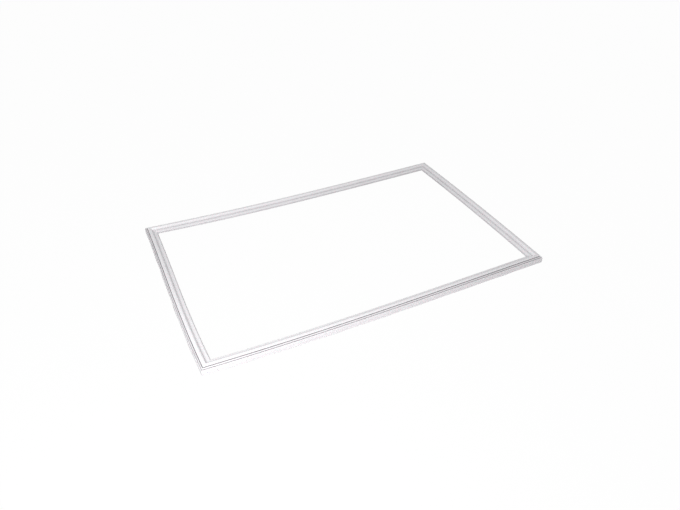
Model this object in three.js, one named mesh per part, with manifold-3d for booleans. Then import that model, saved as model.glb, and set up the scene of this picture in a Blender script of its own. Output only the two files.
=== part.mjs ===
// Refrigerator door gasket: four mitred lengths of soft PVC extrusion, welded into one loop,
// with a flexible magnet strip in the pocket of each side. Millimetres, +Z up.
// It lies with its sealing face up, on the tips of its push-in dart and its outer skirt.
import * as THREE from 'three';
import { mergeVertices } from 'three/addons/utils/BufferGeometryUtils.js';
import Module from 'manifold-3d';

// The loop, over the outer edges of its sealing face.
const loopLength = 925;
const loopWidth = 575;

// Soft sides never lie quite straight. Each has an outward bow at its middle, and some have a
// skew that moves the fullest place of the bow towards one end.
const frontBow = 6.4;
const frontSkew = 0.55;
const backBow = -11;
const backSkew = 0.35;
const leftBow = 3;
const leftSkew = -1.2;
const rightBow = 4;

// Head: the flat sealing face over the magnet pocket, with a steep slope on its inner side.
const magnetWidth = 5.2;
const magnetThickness = 3;
const magnetPlay = 0.3;
const magnetEndGap = 6;
const wall = 0.9;
const slopeReach = 4.4;

// Inner side, downwards: a groove under the slope, the round shoulder of the bellows and the
// fold between the shoulder and the base.
const innerGroove = 1.2;
const grooveUndercut = 0.9;
const shoulderReach = 8.2;
const shoulderFall = 1.3;
const shoulderRound = 1.8;
const innerFold = 1.8;
const foldHeight = 0.9;
const bellowsHeight = 6.4;

// Outer side, downwards: a lip, a rib between two grooves, and the thin skirt.
const lipThickness = 1.1;
const grooveMouth = 1.9;
const grooveCut = 2.4;
const ribWidth = 2.1;
const ribDrop = 1.8;
const outerBulge = 2.1;
const baseInset = 0.4;
const skirtReach = 6.4;
const skirtThickness = 0.9;
const skirtClearance = 0.6;

// Base, with the short inner lip and the dart.
const baseThickness = 1.6;
const innerLipReach = 3.4;
const innerLipDrop = 0.5;
const dartLength = 7.4;
const dartStem = 2;
const dartBarb = 1.6;
const dartTip = 1.6;

// Breather hole in the middle of each side, through the base and the pocket's floor.
const breatherDiameter = 2.4;

// Steps along one side.
const sideSteps = 8;

// The section is drawn with x outwards from the outer edge of the sealing face, and y up from
// the tip of the dart.
const pocketWidth = magnetWidth + 2 * magnetPlay;
const pocketHeight = magnetThickness + 2 * magnetPlay;
const pocketInner = -wall - pocketWidth;
const sealInner = pocketInner - wall;
const baseUnderside = dartLength;
const baseTop = baseUnderside + baseThickness;
const headUnderside = baseTop + bellowsHeight;
const pocketFloor = headUnderside + wall;
const pocketRoof = pocketFloor + pocketHeight;
const sealTop = pocketRoof + wall;

const slopeFootX = sealInner - slopeReach;
const innerGrooveX = slopeFootX + grooveUndercut;
const innerGrooveY = headUnderside - innerGroove;
const shoulderX = slopeFootX - innerGroove;
const shoulderY = headUnderside - grooveUndercut;
const innerBulgeX = shoulderX - shoulderReach;
const lowerInnerX = innerBulgeX + innerFold;
const lowerFoldY = baseTop + foldHeight;
const innerBulgeY = lowerFoldY + innerFold;
const lipTipX = lowerInnerX - innerLipReach;
const lipTipY = baseTop - innerLipDrop;

const ribInnerY = sealTop - ribDrop;
const ribOuterX = grooveMouth + ribWidth;
const ribOuterY = ribInnerY - ribDrop;
const firstGrooveX = wall / 3;
const firstGrooveY = ribInnerY - grooveCut;
const secondGrooveX = ribOuterX - grooveUndercut;
const secondGrooveY = ribOuterY - grooveCut;
const skirtTopX = skirtReach - skirtThickness / 2;
const skirtTopY = ribOuterY - wall;
const skirtInnerX = skirtReach - skirtThickness;
const wingUnderside = secondGrooveY - wall;
const lowerOuterX = -baseInset;
const outerBulgeX = lowerOuterX + outerBulge;
const outerBulgeY = (wingUnderside + lowerFoldY) / 2;
const dartCentre = (lowerInnerX + lowerOuterX) / 2;

function sectionOutline() {
  const shape = new THREE.Shape();
  shape.moveTo(sealInner, sealTop);
  // Down the inner side: slope, groove, shoulder and fold.
  shape.lineTo(slopeFootX, headUnderside);
  shape.lineTo(innerGrooveX, innerGrooveY);
  shape.lineTo(shoulderX, shoulderY);
  const roundX = innerBulgeX + shoulderRound;
  shape.quadraticCurveTo(roundX, shoulderY - shoulderFall, innerBulgeX, innerBulgeY);
  shape.lineTo(lowerInnerX, lowerFoldY);
  // Inner lip of the base.
  shape.lineTo(lowerInnerX, baseTop);
  shape.lineTo(lipTipX, lipTipY);
  shape.lineTo(lipTipX, lipTipY - wall);
  shape.lineTo(lowerInnerX, baseUnderside);
  // Dart, with a barb on each side.
  shape.lineTo(dartCentre - dartStem / 2, baseUnderside);
  shape.lineTo(dartCentre - dartStem / 2, dartLength / 2);
  shape.lineTo(dartCentre - dartStem / 2 - dartBarb, dartLength / 2);
  shape.lineTo(dartCentre - dartTip / 2, 0);
  shape.lineTo(dartCentre + dartTip / 2, 0);
  shape.lineTo(dartCentre + dartStem / 2 + dartBarb, dartLength / 2);
  shape.lineTo(dartCentre + dartStem / 2, dartLength / 2);
  shape.lineTo(dartCentre + dartStem / 2, baseUnderside);
  // Outer end of the base and the bellows above it.
  shape.lineTo(lowerOuterX, baseUnderside);
  shape.lineTo(lowerOuterX, lowerFoldY);
  shape.quadraticCurveTo(outerBulgeX, lowerFoldY + wall, outerBulgeX, outerBulgeY);
  shape.quadraticCurveTo(outerBulgeX, wingUnderside - wall, wall, wingUnderside + wall / 2);
  // Under the rib, and down and up the skirt.
  shape.lineTo(secondGrooveX, wingUnderside);
  shape.lineTo(skirtInnerX, wingUnderside - wall);
  shape.lineTo(skirtInnerX, skirtClearance);
  shape.lineTo(skirtReach, skirtClearance);
  shape.lineTo(skirtReach, skirtTopY - wall);
  shape.lineTo(skirtTopX, skirtTopY);
  // The two grooves with the rib between them, and the outer lip of the sealing face.
  shape.lineTo(secondGrooveX, secondGrooveY);
  shape.lineTo(ribOuterX, ribOuterY);
  shape.lineTo(grooveMouth, ribInnerY);
  shape.lineTo(firstGrooveX, firstGrooveY);
  shape.lineTo(0, sealTop - lipThickness);
  shape.lineTo(0, sealTop);
  shape.closePath();
  return shape;
}

function pocketHole() {
  return new THREE.Path([
    new THREE.Vector2(pocketInner, pocketFloor),
    new THREE.Vector2(pocketInner, pocketRoof),
    new THREE.Vector2(-wall, pocketRoof),
    new THREE.Vector2(-wall, pocketFloor),
  ]);
}

// The air chamber follows the bellows one wall inside it, under the head and the shoulder.
function chamberHole() {
  const shoulderUnderside = shoulderY - wall;
  return new THREE.Path([
    new THREE.Vector2(lowerInnerX + wall, baseTop),
    new THREE.Vector2(lowerInnerX + wall, lowerFoldY),
    new THREE.Vector2(innerBulgeX + wall, innerBulgeY),
    new THREE.Vector2(innerBulgeX + shoulderRound + wall, shoulderUnderside - shoulderFall),
    new THREE.Vector2(shoulderX, shoulderUnderside),
    new THREE.Vector2(innerGrooveX, innerGrooveY - wall),
    new THREE.Vector2(pocketInner - wall, headUnderside),
    new THREE.Vector2(-wall, headUnderside),
    new THREE.Vector2(outerBulgeX - wall, outerBulgeY),
    new THREE.Vector2(lowerOuterX - wall, lowerFoldY),
    new THREE.Vector2(lowerOuterX - wall, baseTop),
  ]);
}

// The sides in order, clockwise from above: the half length of each, how far out it lies, how
// it bows, and the quarter turns that take it from the front to its place.
const halfLength = loopLength / 2;
const halfWidth = loopWidth / 2;
const sides = [
  { name: 'front', half: halfLength, out: halfWidth, bow: frontBow, skew: frontSkew, turns: 0 },
  { name: 'left', half: halfWidth, out: halfLength, bow: leftBow, skew: leftSkew, turns: -1 },
  { name: 'back', half: halfLength, out: halfWidth, bow: backBow, skew: -backSkew, turns: -2 },
  { name: 'right', half: halfWidth, out: halfLength, bow: rightBow, skew: 0, turns: -3 },
];

// Places along a side, as a share of its half length, from one end to the other.
function stations(end) {
  const list = [];
  for (let i = 0; i <= sideSteps; i += 1) {
    list.push(end * (2 * i / sideSteps - 1));
  }
  return list;
}

// Takes a point of the section to its place on a side. Each end is cut at 45 degrees, so a
// point further in has a shorter run.
function place(side, share, x, y) {
  const bend = side.bow * (1 - share * share) * (1 + side.skew * share);
  const along = share * (side.half + x);
  const away = side.out + x + bend;
  return new THREE.Vector3(-along, -away, y)
    .applyAxisAngle(new THREE.Vector3(0, 0, 1), side.turns * Math.PI / 2);
}

// A solid from a geometry whose equal corners are merged.
const wasm = await Module();
wasm.setup();

function solidOf(geometry) {
  const bare = geometry.clone();
  bare.deleteAttribute('normal');
  bare.deleteAttribute('uv');
  const merged = mergeVertices(bare, 1e-4);
  return new wasm.Manifold(new wasm.Mesh({
    numProp: 3,
    vertProperties: new Float32Array(merged.attributes.position.array),
    triVerts: new Uint32Array(merged.index.array),
  }));
}

function geometryOf(solid) {
  const mesh = solid.getMesh();
  const geometry = new THREE.BufferGeometry();
  geometry.setAttribute('position', new THREE.BufferAttribute(mesh.vertProperties, 3));
  geometry.setIndex(new THREE.BufferAttribute(mesh.triVerts, 1));
  geometry.computeVertexNormals();
  return geometry;
}

// The section is extruded once, with one step for each stretch between two stations, and its
// steps are then laid round the loop. The strip closes on itself, so its two end faces go.
function loopGeometry() {
  const shape = sectionOutline();
  shape.holes.push(pocketHole(), chamberHole());
  const rings = [];
  for (const side of sides) {
    for (const share of stations(1).slice(0, -1)) {
      rings.push({ side, share });
    }
  }
  const strip = new THREE.ExtrudeGeometry(shape, {
    depth: rings.length,
    steps: rings.length,
    bevelEnabled: false,
    curveSegments: 3,
  });
  const walls = strip.groups.find((group) => group.materialIndex === 1);
  const source = strip.attributes.position;
  const points = new Float32Array(walls.count * 3);
  for (let i = 0; i < walls.count; i += 1) {
    const index = walls.start + i;
    const ring = rings[Math.round(source.getZ(index)) % rings.length];
    const point = place(ring.side, ring.share, source.getX(index), source.getY(index));
    point.toArray(points, i * 3);
  }
  const geometry = new THREE.BufferGeometry();
  geometry.setAttribute('position', new THREE.BufferAttribute(points, 3));
  return geometry;
}

function breather(side) {
  const reach = pocketFloor + magnetPlay / 2;
  const centreX = pocketInner + pocketWidth / 2;
  const hole = new THREE.CylinderGeometry(breatherDiameter / 2, breatherDiameter / 2, reach, 10);
  hole.rotateX(Math.PI / 2);
  const middle = place(side, 0, centreX, reach / 2);
  hole.translate(middle.x, middle.y, middle.z);
  return solidOf(hole);
}

// A magnet strip lies in its pocket with play all round, and stops short of the corner welds.
function magnetGeometry(side) {
  const left = pocketInner + magnetPlay;
  const low = pocketFloor + magnetPlay;
  const bar = new THREE.Shape([
    new THREE.Vector2(left, low),
    new THREE.Vector2(left + magnetWidth, low),
    new THREE.Vector2(left + magnetWidth, low + magnetThickness),
    new THREE.Vector2(left, low + magnetThickness),
  ]);
  const shares = stations(1 - magnetEndGap / side.half);
  const steps = shares.length - 1;
  const geometry = new THREE.ExtrudeGeometry(bar, { depth: steps, steps, bevelEnabled: false });
  const position = geometry.attributes.position;
  for (let i = 0; i < position.count; i += 1) {
    const share = shares[Math.round(position.getZ(i))];
    const point = place(side, share, position.getX(i), position.getY(i));
    position.setXYZ(i, point.x, point.y, point.z);
  }
  return geometryOf(solidOf(geometry));
}

const softPvc = new THREE.MeshStandardMaterial({ color: 0xe9e8ec, roughness: 0.45, metalness: 0 });
const magnetRubber = new THREE.MeshStandardMaterial({ color: 0x3b342f, roughness: 0.8, metalness: 0 });

const gasket = new THREE.Group();

let profileSolid = solidOf(loopGeometry());
for (const side of sides) {
  profileSolid = profileSolid.subtract(breather(side));
}
const profile = new THREE.Mesh(geometryOf(profileSolid), softPvc);
profile.name = 'gasket_profile';
gasket.add(profile);

for (const side of sides) {
  const magnet = new THREE.Mesh(magnetGeometry(side), magnetRubber);
  magnet.name = `magnet_${side.name}`;
  gasket.add(magnet);
}

// The origin is under the middle of the whole loop, on the surface that it lies on.
const footprint = new THREE.Box3().setFromObject(gasket).getCenter(new THREE.Vector3());
gasket.position.set(-footprint.x, -footprint.y, 0);

export default gasket;
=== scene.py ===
import math

import bmesh
import bpy
from mathutils import Matrix, Vector


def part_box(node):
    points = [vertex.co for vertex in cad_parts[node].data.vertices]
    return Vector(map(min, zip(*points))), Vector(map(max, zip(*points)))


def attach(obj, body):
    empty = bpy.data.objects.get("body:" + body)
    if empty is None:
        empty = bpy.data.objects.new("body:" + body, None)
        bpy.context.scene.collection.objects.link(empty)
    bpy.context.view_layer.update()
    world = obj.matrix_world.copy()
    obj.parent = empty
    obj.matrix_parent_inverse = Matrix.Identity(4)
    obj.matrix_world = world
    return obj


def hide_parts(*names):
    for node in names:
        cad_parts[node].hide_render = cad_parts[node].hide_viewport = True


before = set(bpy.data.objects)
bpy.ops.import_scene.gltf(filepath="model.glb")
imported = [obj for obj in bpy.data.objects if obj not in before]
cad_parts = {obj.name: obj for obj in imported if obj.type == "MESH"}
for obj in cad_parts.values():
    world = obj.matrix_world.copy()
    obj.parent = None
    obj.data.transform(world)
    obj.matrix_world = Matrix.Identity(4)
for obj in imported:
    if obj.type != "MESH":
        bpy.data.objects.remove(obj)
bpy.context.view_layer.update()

# The gasket's profile. One extrusion of soft white PVC: a flat sealing face over the magnet
# pocket, a ribbed outer shoulder with a thin skirt, a folding bellows, and a base with an inner
# lip and a push-in dart. Four lengths are cut at 45 degrees and heat-welded into one loop.
mm = 0.001
loop_length = 925 * mm
loop_width = 575 * mm
front_bow = 6.4 * mm
front_skew = 0.55
back_bow = -11 * mm
back_skew = 0.35
left_bow = 3 * mm
left_skew = -1.2
right_bow = 4 * mm

wall = 0.9 * mm
magnet_width = 5.2 * mm
magnet_thickness = 3 * mm
magnet_play = 0.3 * mm
face_crown = 0.12 * mm
slope_reach = 4.4 * mm
inner_groove = 1.2 * mm
groove_undercut = 0.9 * mm
shoulder_reach = 8.2 * mm
shoulder_fall = 1.3 * mm
shoulder_round = 1.8 * mm
crest_share = 0.55
crest_fall = 0.72
brow_share = 0.6
brow_fall = 1.3
inner_fold = 1.8 * mm
fold_height = 0.9 * mm
bellows_height = 6.4 * mm
lip_thickness = 1.1 * mm
groove_mouth = 1.9 * mm
groove_cut = 2.4 * mm
rib_width = 2.1 * mm
rib_drop = 1.8 * mm
outer_bulge = 2.1 * mm
base_inset = 0.4 * mm
skirt_reach = 6.4 * mm
skirt_thickness = 0.9 * mm
skirt_clearance = 0.6 * mm
base_thickness = 1.6 * mm
lip_reach = 3.4 * mm
lip_drop = 0.5 * mm
dart_length = 7.4 * mm
dart_stem = 2 * mm
dart_barb = 1.6 * mm
dart_tip = 1.6 * mm
breather_radius = 1.2 * mm

# Places across the section, outwards from the outer edge of the sealing face, and heights
# above the tip of the dart.
pocket_out = -wall
pocket_in = pocket_out - magnet_width - 2 * magnet_play
face_in = pocket_in - wall
base_top = dart_length + base_thickness
head_under = base_top + bellows_height
pocket_floor = head_under + wall
pocket_roof = pocket_floor + magnet_thickness + 2 * magnet_play
face_top = pocket_roof + wall
foot = face_in - slope_reach
groove_in = foot + groove_undercut
groove_low = head_under - inner_groove
shoulder = foot - inner_groove
shoulder_top = head_under - groove_undercut
bulge_in = shoulder - shoulder_reach
base_in = bulge_in + inner_fold
fold_low = base_top + fold_height
lip_tip = base_in - lip_reach
rib_top = face_top - rib_drop
rib_out = groove_mouth + rib_width
rib_low = rib_top - rib_drop
groove_two = rib_out - groove_undercut
groove_two_low = rib_low - groove_cut
skirt_in = skirt_reach - skirt_thickness
skirt_top = rib_low - wall
wing_under = groove_two_low - wall
base_out = -base_inset
bulge_out = base_out + outer_bulge
bulge_mid = (wing_under + fold_low) / 2
dart_mid = (base_in + base_out) / 2
dart_in = dart_mid - dart_stem / 2
dart_out = dart_mid + dart_stem / 2

# Corners of the die's outline, outwards and up, each with how far it is rounded, how much shade is
# painted there from 0 to 1, and how far light passes the wall there from 0 to 1, which also paints the
# wall whiter as painted light.
skin_outline = [
    (face_in, face_top, 1.2 * mm, 0, 0),
    (foot, head_under, 0.4 * mm, 0.3, 0),
    (groove_in, groove_low, 0.2 * mm, 0.35, 0),
    (shoulder, shoulder_top, 0.4 * mm, 0.2, 0),
    (shoulder - shoulder_reach * crest_share, shoulder_top - shoulder_fall * crest_fall, 1.5 * mm, 0, 0),
    (bulge_in + shoulder_round * brow_share, shoulder_top - shoulder_fall * brow_fall, 0.8 * mm, 0, 0),
    (bulge_in, fold_low + inner_fold, 0.6 * mm, 0.2, 0),
    (base_in, fold_low, 0.3 * mm, 0.3, 0),
    (base_in, base_top, 0.3 * mm, 0.3, 0),
    (lip_tip, base_top - lip_drop, 0.35 * mm, 0.3, 0.4),
    (lip_tip, base_top - lip_drop - wall, 0.35 * mm, 0.3, 0.4),
    (base_in, dart_length, 1 * mm, 0.3, 0),
    (dart_in, dart_length, 0.3 * mm, 0.6, 0),
    (dart_in, dart_length / 2, 0.2 * mm, 0.6, 0),
    (dart_in - dart_barb, dart_length / 2, 0.2 * mm, 0, 0),
    (dart_mid - dart_tip / 2, 0, 0.3 * mm, 0, 0),
    (dart_mid + dart_tip / 2, 0, 0.3 * mm, 0, 0),
    (dart_out + dart_barb, dart_length / 2, 0.2 * mm, 0, 0),
    (dart_out, dart_length / 2, 0.2 * mm, 0.6, 0),
    (dart_out, dart_length, 0.3 * mm, 0.6, 0),
    (base_out, dart_length, 0.4 * mm, 0, 0),
    (base_out, fold_low, 0.4 * mm, 0.5, 0),
    (bulge_out, bulge_mid - wall, 0.8 * mm, 0, 0),
    (bulge_out, bulge_mid + wall, 0.8 * mm, 0, 0),
    (wall, wing_under + wall / 2, 0.4 * mm, 0.6, 0),
    (groove_two, wing_under, 0.8 * mm, 0.4, 0),
    (skirt_in, wing_under - wall, 0.8 * mm, 0.2, 0.6),
    (skirt_in, skirt_clearance, 0.3 * mm, 0, 1),
    (skirt_reach, skirt_clearance, 0.3 * mm, 0, 1),
    (skirt_reach, skirt_top - wall, 0.4 * mm, 0, 0.6),
    (skirt_reach - skirt_thickness / 2, skirt_top, 0.3 * mm, 0, 0.2),
    (groove_two, groove_two_low, 0.2 * mm, 1, 0),
    (rib_out, rib_low, 0.3 * mm, 0.35, 0),
    (groove_mouth, rib_top, 0.4 * mm, 0.25, 0),
    (wall / 3, rib_top - groove_cut, 0.15 * mm, 1, 0),
    (0, face_top - lip_thickness, 0.25 * mm, 0.8, 0),
    (0, face_top, 0.8 * mm, 0, 0),
    (face_in / 2, face_top + face_crown, 1.5 * mm, 0, 0),
]
# The pocket has a little more room than the play, because its walls curve smoothly.
pocket_ease = 0.15 * mm
pocket_outline = [
    (pocket_in - pocket_ease, pocket_floor, 0.3 * mm, 0, 0),
    (pocket_in - pocket_ease, pocket_roof, 0.3 * mm, 0, 0),
    (pocket_out + pocket_ease, pocket_roof, 0.3 * mm, 0, 0),
    (pocket_out + pocket_ease, pocket_floor, 0.3 * mm, 0, 0),
]
under_shoulder = shoulder_top - wall
chamber_outline = [
    (base_in + wall, base_top, 0.3 * mm, 0.5, 0),
    (base_in + wall, fold_low, 0.3 * mm, 0.5, 0),
    (bulge_in + wall, fold_low + inner_fold, 0.5 * mm, 0, 0),
    (bulge_in + shoulder_round + wall, under_shoulder - shoulder_fall, 0.5 * mm, 0, 0),
    (shoulder, under_shoulder, 0.4 * mm, 0, 0),
    (groove_in, groove_low - wall, 0.4 * mm, 0, 0),
    (pocket_in - wall, head_under, 0.5 * mm, 0, 0),
    (pocket_out, head_under, 0.5 * mm, 0, 0),
    (bulge_out - wall, bulge_mid, 0.8 * mm, 0, 0),
    (base_out - wall, fold_low, 0.3 * mm, 0.5, 0),
    (base_out - wall, base_top, 0.3 * mm, 0.5, 0),
]

rounding_steps = 3
die = bmesh.new()
notes = {}
# The first note paints shade into the folds, grooves and under the dart; the thin one sets how much
# light passes and paints the skirt and lip whiter.
for note in ("painted_shade", "thin", "hollow", "across", "along", "weld"):
    notes[note] = die.verts.layers.float.new(note)


def cut_die(corners, hollow):
    """Adds one closed outline to the die, rounded corner by corner, standing at x = -1."""
    points = [die.verts.new((-1, out, up)) for out, up, round_off, painted_shade, thin in corners]
    die.faces.new(points)
    rounding = {}
    for point, (out, up, round_off, painted_shade, thin) in zip(points, corners):
        rounding.setdefault(round_off, []).append(point)
    for round_off, group in rounding.items():
        bmesh.ops.bevel(
            die, geom=group, offset=round_off, segments=rounding_steps, profile=0.5,
            affect="VERTICES", material=-1, clamp_overlap=False,
        )
    rim = list(die.faces)[-1].verts[:]
    bmesh.ops.delete(die, geom=die.faces[:], context="FACES_ONLY")
    travelled = 0
    for point, before in zip(rim, rim[-1:] + rim[:-1]):
        nearest = min(corners, key=lambda c: math.hypot(c[0] - point.co.y, c[1] - point.co.z))
        travelled += (point.co - before.co).length
        point[notes["painted_shade"]] = nearest[3]
        point[notes["thin"]] = nearest[4]
        point[notes["hollow"]] = hollow
        point[notes["across"]] = travelled


cut_die(skin_outline, 0)
cut_die(pocket_outline, 1)
cut_die(chamber_outline, 1)

# The die's outline is drawn out into a straight strip along x, from -1 to 1.
side_steps = 64
bmesh.ops.spin(
    die, geom=die.verts[:] + die.edges[:], cent=(0, 0, 0), axis=(1, 0, 0),
    dvec=(2 / side_steps, 0, 0), angle=0, steps=side_steps, use_merge=False,
)

# Each side: its name, half length, how far out it lies, its bow and skew, and its quarter turns.
sides = [
    ("front", loop_length / 2, loop_width / 2, front_bow, front_skew, 0),
    ("left", loop_width / 2, loop_length / 2, left_bow, left_skew, -1),
    ("back", loop_length / 2, loop_width / 2, back_bow, -back_skew, -2),
    ("right", loop_width / 2, loop_length / 2, right_bow, 0, -3),
]
front_low, front_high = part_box("magnet_front")
left_low, left_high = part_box("magnet_left")
loop_centre = Vector(((front_low[0] + front_high[0]) / 2, (left_low[1] + left_high[1]) / 2, 0))

# The thin skirt sways in two long waves that die out towards the corners.
skirt_sway = 0.5 * mm
long_wave = 53
short_wave = 89
short_share = 0.6
still_corner = 6
skirt_edge = 0.1 * mm


def lay(side, step, out, up):
    """Takes a point of the straight strip to its place on one side of the loop."""
    name, half, away, bow, skew, turns = side
    share = math.sin(step * math.pi / 2)
    bend = bow * (1 - share * share) * (1 + skew * share)
    if out > skirt_in - skirt_edge and up < wing_under:
        run = share * half
        hang = (1 - up / wing_under) * (1 - share ** still_corner)
        wave = math.sin(long_wave * run + turns) + short_share * math.sin(short_wave * run - turns)
        bend += skirt_sway * hang * wave
    place = Vector((-share * (half + out), -(away + out + bend), up))
    return Matrix.Rotation(turns * math.pi / 2, 3, "Z") @ place + loop_centre


# A copy of the strip is laid along each side, and the four mitres are welded. Each point notes
# how far it lies along the loop and how far from the nearest weld.
weld_gap = 0.01 * mm
straight = die.verts[:]
strip = straight + die.edges[:] + die.faces[:]
for side in sides:
    name, half, away, bow, skew, turns = side
    bar = bmesh.ops.duplicate(die, geom=strip)["geom"]
    for point in bar:
        if isinstance(point, bmesh.types.BMVert):
            share = math.sin(point.co.x * math.pi / 2)
            point[notes["along"]] = share * half + loop_length * (1 - turns)
            point[notes["weld"]] = half * (1 - abs(share))
            point.co = lay(side, point.co.x, point.co.y, point.co.z)
bmesh.ops.delete(die, geom=straight, context="VERTS")
bmesh.ops.remove_doubles(die, verts=die.verts[:], dist=weld_gap)
bmesh.ops.recalc_face_normals(die, faces=die.faces[:])

# A fine bead stands along each weld. The pocket and the air chamber are hollows, so their
# walls face into them.
weld_bead = 0.15 * mm
die.normal_update()
for point in die.verts:
    if point[notes["weld"]] < weld_gap and point[notes["hollow"]] == 0:
        point.co += point.normal * weld_bead
hollows = [face for face in die.faces if face.verts[0][notes["hollow"]] == 1]
bmesh.ops.reverse_faces(die, faces=hollows)
for face in die.faces:
    face.smooth = True
profile_mesh = bpy.data.meshes.new("gasket_profile_soft")
die.to_mesh(profile_mesh)
die.free()
profile = bpy.data.objects.new("soft_profile", profile_mesh)
bpy.context.scene.collection.objects.link(profile)

# Breather holes in the middle of each side, through the base and the pocket's floor. The drill
# is turned a little, so that none of its edges falls on an edge of the strip.
drill = bmesh.new()
drill_length = pocket_floor + magnet_play / 2
drill_facets = 24
drill_turn = Matrix.Rotation(math.radians(4), 4, "Z")
for side in sides:
    middle = lay(side, 0, (pocket_in + pocket_out) / 2, drill_length / 2)
    bmesh.ops.create_cone(
        drill, cap_ends=True, segments=drill_facets, radius1=breather_radius, radius2=breather_radius,
        depth=drill_length, matrix=Matrix.Translation(middle) @ drill_turn,
    )
drill_mesh = bpy.data.meshes.new("drill")
drill.to_mesh(drill_mesh)
drill.free()
drill_tool = bpy.data.objects.new("drill", drill_mesh)
bpy.context.scene.collection.objects.link(drill_tool)
drilling = profile.modifiers.new("breathers", "BOOLEAN")
drilling.operation = "DIFFERENCE"
drilling.solver = "EXACT"
drilling.object = drill_tool
drawn_up = profile.evaluated_get(bpy.context.evaluated_depsgraph_get())
drilled = bpy.data.meshes.new_from_object(drawn_up)
profile.modifiers.clear()
profile.data = drilled
bpy.data.objects.remove(drill_tool)
bpy.data.meshes.remove(drill_mesh)
bpy.data.meshes.remove(profile_mesh)
drilled.name = "gasket_profile_soft"
crease = math.radians(50)
drilled.set_sharp_from_angle(angle=crease)
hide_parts("gasket_profile")
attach(profile, "root")


class Shade:
    """A socket of a material, so that its sums are written as they are read."""

    def __init__(self, tree, socket=None):
        self.tree = tree
        self.socket = socket

    def node(self, kind, settings, plugs, out=0):
        """Adds a node: its settings first, then the values or links of its sockets."""
        made = self.tree.nodes.new(kind)
        for name, value in settings.items():
            setattr(made, name, value)
        for name, value in plugs.items():
            if isinstance(value, Shade):
                self.tree.links.new(value.socket, made.inputs[name])
            else:
                made.inputs[name].default_value = value
        return Shade(self.tree, made.outputs[out])

    def sum(self, operation, left, right):
        return self.node("ShaderNodeMath", {"operation": operation}, {0: left, 1: right})

    def __add__(self, other):
        return self.sum("ADD", self, other)

    def __sub__(self, other):
        return self.sum("SUBTRACT", self, other)

    def __rsub__(self, other):
        return self.sum("SUBTRACT", other, self)

    def __mul__(self, other):
        return self.sum("MULTIPLY", self, other)

    __radd__ = __add__
    __rmul__ = __mul__

    def noted(self, note):
        return self.node("ShaderNodeAttribute", {"attribute_name": note}, {}, "Fac")

    def noise(self, place, scale, detail):
        plugs = {"Vector": place, "Scale": scale, "Detail": detail}
        return self.node("ShaderNodeTexNoise", {}, plugs, 0)

    def between(self, low, high):
        """Runs from 0 to 1 as the value goes from low to high, and no further."""
        plugs = {"Value": self, "From Min": low, "From Max": high, "To Min": 0.0, "To Max": 1.0}
        return self.node("ShaderNodeMapRange", {"interpolation_type": "SMOOTHSTEP"}, plugs, 0)

    def tint(self, factor, base, other):
        settings = {"data_type": "RGBA"}
        return self.node("ShaderNodeMix", settings, {0: factor, 6: base, 7: other}, 2)


# Soft PVC: faintly lilac white, with drawn lines along the extrusion, a little cloudiness, painted
# shade in the folds, a glossier melt along the welds, light passing through the skirt, and the thin
# skirt and lip painted whiter as painted light.
pvc_white = (0.87, 0.852, 0.875, 1)
pvc_cloud = (0.82, 0.805, 0.825, 1)
# Painted shade: the dark grey towards which the folds, grooves and the hollows under the dart are
# tinted.
painted_fold_shade = (0.30, 0.285, 0.30, 1)
# Painted light: the skirt and lip are tinted this brighter white in place of light on their shaded
# faces; it also colours the light let through them.
skirt_white_and_painted_light = (0.96, 0.93, 0.955, 1)
streak_run = 18
streak_rows = 1900
cloud_scale = 16.0
grain_scale = 900.0
melt_scale = 1400.0
melt_low = 0.4 * mm
melt_high = 2.2 * mm
relief_depth = 0.03 * mm
relief_strength = 0.25
skirt_glow = 0.3
bleed_share = 0.12
bleed_depth = 1.2 * mm
bleed_colours = (1.0, 0.7, 0.75)
pvc = bpy.data.materials.new("soft white PVC")
pvc.use_nodes = True
shade = Shade(pvc.node_tree)
finish = pvc.node_tree.nodes["Principled BSDF"]
place = shade.node("ShaderNodeTexCoord", {}, {}, "Object")
drawn = shade.node("ShaderNodeCombineXYZ", {}, {
    0: shade.noted("along") * streak_run,
    1: shade.noted("across") * streak_rows,
})
lines = shade.noise(drawn, 1.0, 2.0)
cloud = shade.noise(place, cloud_scale, 3.0)
grain = shade.noise(place, grain_scale, 2.0)
melt = 1 - shade.noted("weld").between(melt_low, melt_high)
painted_shade = shade.noted("painted_shade")
thin = shade.noted("thin")
colour = shade.tint(cloud.between(0.4, 0.75) * 0.5 + lines * 0.2, pvc_white, pvc_cloud)
# Painted light: the thin skirt and lip are tinted whiter.
colour = shade.tint(thin * 0.8, colour, skirt_white_and_painted_light)
# Painted shade: folds and grooves are darkened towards the dark grey, a little more where the cloudiness
# is high.
colour = shade.tint(painted_shade * (0.8 + cloud * 0.4), colour, painted_fold_shade)
colour = shade.tint(melt * 0.3, colour, pvc_cloud)
rough = 0.38 + lines * 0.12 + cloud * 0.1 + painted_shade * 0.1 - melt * 0.2
height = lines * 0.7 + grain * 0.3 + melt * shade.noise(place, melt_scale, 1.0)
relief = shade.node("ShaderNodeBump", {}, {
    "Strength": relief_strength,
    "Distance": relief_depth,
    "Height": height,
})
pvc.node_tree.links.new(colour.socket, finish.inputs["Base Color"])
pvc.node_tree.links.new(rough.socket, finish.inputs["Roughness"])
pvc.node_tree.links.new(relief.socket, finish.inputs["Normal"])
finish.inputs["IOR"].default_value = 1.53
finish.inputs["Subsurface Weight"].default_value = bleed_share
finish.inputs["Subsurface Radius"].default_value = bleed_colours
finish.inputs["Subsurface Scale"].default_value = bleed_depth
glow = shade.node("ShaderNodeBsdfTranslucent", {}, {"Color": skirt_white_and_painted_light, "Normal": relief})
body = Shade(pvc.node_tree, finish.outputs["BSDF"])
whole = shade.node("ShaderNodeMixShader", {}, {0: thin * skirt_glow, 1: body, 2: glow})
pvc.node_tree.links.new(whole.socket, pvc.node_tree.nodes["Material Output"].inputs["Surface"])
drilled.materials.clear()
drilled.materials.append(pvc)

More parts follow.
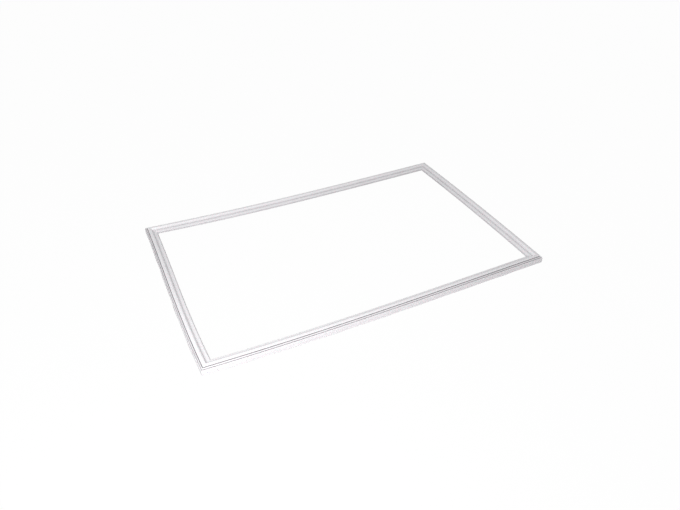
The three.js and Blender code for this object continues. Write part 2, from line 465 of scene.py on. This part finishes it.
# The magnet strips. Flexible ferrite-filled rubber, dark brown and matt, calendered and slit to
# width, pushed into the pocket of each side before its ends are welded.
ferrite_dark = (0.030, 0.024, 0.020, 1)
ferrite_worn = (0.075, 0.062, 0.052, 1)
mottle_scale = 60.0
powder_scale = 2600.0
powder_depth = 0.05 * mm
powder_strength = 0.4
ferrite = bpy.data.materials.new("ferrite rubber")
ferrite.use_nodes = True
shade = Shade(ferrite.node_tree)
finish = ferrite.node_tree.nodes["Principled BSDF"]
place = shade.node("ShaderNodeTexCoord", {}, {}, "Object")
mottle = shade.noise(place, mottle_scale, 4.0)
powder = shade.noise(place, powder_scale, 2.0)
blend = mottle.between(0.35, 0.7) * 0.6 + powder * 0.4
colour = shade.tint(blend, ferrite_dark, ferrite_worn)
rough = 0.66 + powder * 0.22
relief = shade.node("ShaderNodeBump", {}, {
    "Strength": powder_strength,
    "Distance": powder_depth,
    "Height": powder * 0.6 + mottle * 0.4,
})
ferrite.node_tree.links.new(colour.socket, finish.inputs["Base Color"])
ferrite.node_tree.links.new(rough.socket, finish.inputs["Roughness"])
ferrite.node_tree.links.new(relief.socket, finish.inputs["Normal"])
for side in sides:
    strip_of_magnet = bpy.data.objects["magnet_" + side[0]]
    for place_of_finish in strip_of_magnet.material_slots:
        place_of_finish.material = ferrite

# The studio: a white floor that keeps a faint shadow, a white surround for the camera, a large
# soft lamp above and beyond the front left corner, and an even light from all round.
floor_half = 8
floor_drop = 0.2 * mm
floor_glow = 0.97
floor_white = (0.8, 0.8, 0.8, 1)
plain_white = (1, 1, 1, 1)
even_light = 0.45
floor_mesh = bpy.data.meshes.new("floor")
sheet = bmesh.new()
bmesh.ops.create_grid(sheet, x_segments=1, y_segments=1, size=floor_half)
bmesh.ops.translate(sheet, verts=sheet.verts[:], vec=(0, 0, -floor_drop))
sheet.to_mesh(floor_mesh)
sheet.free()
floor = bpy.data.objects.new("floor", floor_mesh)
bpy.context.scene.collection.objects.link(floor)
paper = bpy.data.materials.new("white floor")
paper.use_nodes = True
paper.node_tree.nodes.remove(paper.node_tree.nodes["Principled BSDF"])
shade = Shade(paper.node_tree)
seen = shade.node("ShaderNodeLightPath", {}, {}, "Is Camera Ray")
mirrored = shade.node("ShaderNodeLightPath", {}, {}, "Is Glossy Ray")
passed = shade.node("ShaderNodeLightPath", {}, {}, "Is Transmission Ray")
matt = shade.node("ShaderNodeBsdfDiffuse", {}, {"Color": floor_white})
lit = shade.node("ShaderNodeEmission", {}, {"Color": plain_white, "Strength": 1.0})
shown = (seen + mirrored + passed) * floor_glow
whole = shade.node("ShaderNodeMixShader", {}, {0: shown, 1: matt, 2: lit})
paper.node_tree.links.new(whole.socket, paper.node_tree.nodes["Material Output"].inputs["Surface"])
floor_mesh.materials.append(paper)

world = bpy.data.worlds.new("studio")
bpy.context.scene.world = world
world.use_nodes = True
world.node_tree.nodes.remove(world.node_tree.nodes["Background"])
shade = Shade(world.node_tree)
seen = shade.node("ShaderNodeLightPath", {}, {}, "Is Camera Ray")
mirrored = shade.node("ShaderNodeLightPath", {}, {}, "Is Glossy Ray")
passed = shade.node("ShaderNodeLightPath", {}, {}, "Is Transmission Ray")
even = shade.node("ShaderNodeBackground", {}, {"Color": plain_white, "Strength": even_light})
white = shade.node("ShaderNodeBackground", {}, {"Color": plain_white, "Strength": 1.0})
whole = shade.node("ShaderNodeMixShader", {}, {0: seen + mirrored + passed, 1: even, 2: white})
world.node_tree.links.new(whole.socket, world.node_tree.nodes["World Output"].inputs["Surface"])

key = bpy.data.lights.new("key", "AREA")
key.shape = "DISK"
key.size = 0.9
key.energy = 15
key_lamp = bpy.data.objects.new("key", key)
key_lamp.location = (-0.72, -0.93, 0.85)
key_aim = Vector((-0.1, 0, 0)) - key_lamp.location
key_lamp.rotation_euler = key_aim.to_track_quat("-Z", "Y").to_euler()
bpy.context.scene.collection.objects.link(key_lamp)

# The camera stands off the front left corner and looks down on the loop.
camera_azimuth = math.radians(-26.781)
camera_elevation = math.radians(37.247)
camera_roll = math.radians(-1.098)
camera_distance = 1.7435 * loop_length
aim_right = 0.0036 * loop_length
aim_down = 0.0410 * loop_length
sensor_width = 36
lens_pixels = 583.7
picture_width = 680

back = Vector((
    math.sin(camera_azimuth) * math.cos(camera_elevation),
    -math.cos(camera_azimuth) * math.cos(camera_elevation),
    math.sin(camera_elevation),
))
level = Vector((0, 0, 1)).cross(back).normalized()
rise = back.cross(level)
turned = Matrix((level, rise, back)).transposed().to_4x4() @ Matrix.Rotation(-camera_roll, 4, "Z")
right = turned.to_3x3() @ Vector((1, 0, 0))
up = turned.to_3x3() @ Vector((0, 1, 0))
aim = loop_centre + Vector((0, 0, face_top)) + right * aim_right - up * aim_down
camera = bpy.data.cameras.new("camera")
camera.sensor_width = sensor_width
camera.lens = lens_pixels / picture_width * sensor_width
viewer = bpy.data.objects.new("camera", camera)
viewer.matrix_world = Matrix.Translation(aim + back * camera_distance) @ turned
bpy.context.scene.collection.objects.link(viewer)
bpy.context.scene.camera = viewer
bpy.context.scene.view_settings.view_transform = "Standard"
